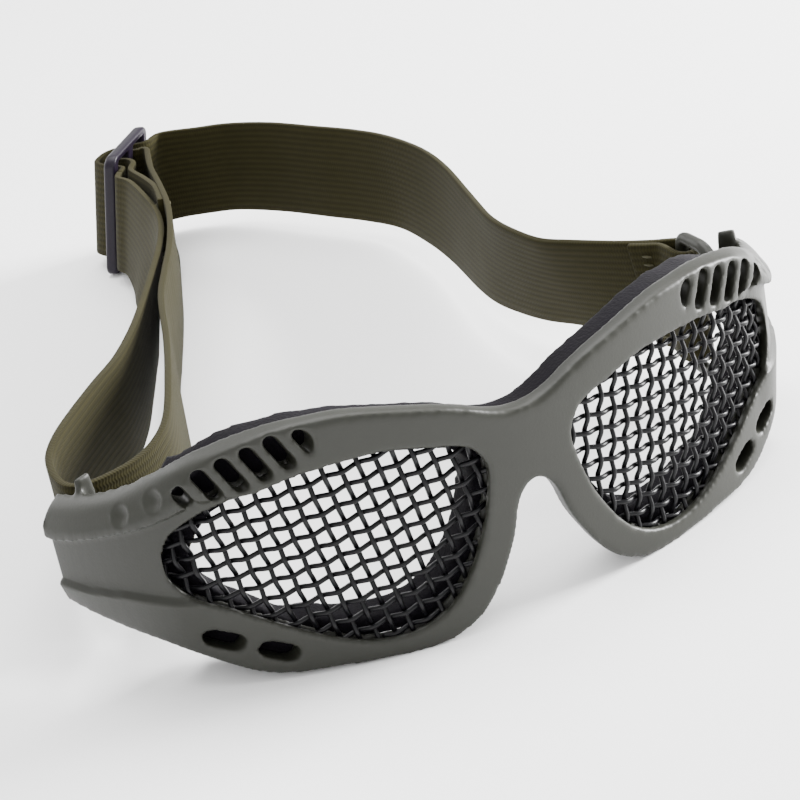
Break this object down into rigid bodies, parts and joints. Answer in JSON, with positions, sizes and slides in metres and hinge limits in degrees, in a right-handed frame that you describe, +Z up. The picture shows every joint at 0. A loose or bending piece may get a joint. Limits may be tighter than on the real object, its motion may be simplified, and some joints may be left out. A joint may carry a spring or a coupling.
{
  "type": "mesh safety goggles",
  "caption": "Wraparound eye guard with woven wire lenses in a moulded frame, a foam face seal and an elastic strap with a slider.",
  "frame": {"origin": "under the middle of the whole object, at the height of the frame's foot and the slider's lower end", "axes": "-Y is the way the wearer looks, +X is the wearer's left, and +Z is up"},
  "size_m": [0.177, 0.2696, 0.056],
  "materials": {
    "frame": "olive grey moulded plastic, satin",
    "wire": "black coated steel wire, semi-gloss",
    "foam": "black closed-cell foam, matt",
    "webbing": "olive drab ribbed elastic webbing",
    "slider": "dark moulded plastic, satin",
    "thread": "olive polyester thread"
  },
  "bodies": {
    "goggles": {"frame": "frame", "left_lens_mesh": "wire", "right_lens_mesh": "wire", "face_foam": "foam"},
    "strap": {"strap_rear_band": "webbing", "strap_front_loop": "webbing", "anchor_stitching": "thread"},
    "slider": {"slider": "slider", "strap_slider_pass": "webbing", "strap_sewn_end": "webbing", "slider_stitching": "thread"}
  },
  "joints": [
    {"name": "strap_swing", "type": "hinge", "parent": "goggles", "child": "strap", "pos_m": [0, -0.07676, 0.0235], "axis": [1, 0, 0], "range_deg": [-6, 6]},
    {"name": "slider_slide", "type": "slide", "parent": "strap", "child": "slider", "axis": [0.6639, 0.7478, 0], "range_m": [-0.004, 0.004], "deforming": ["strap_slider_pass", "strap_sewn_end"]}
  ]
}
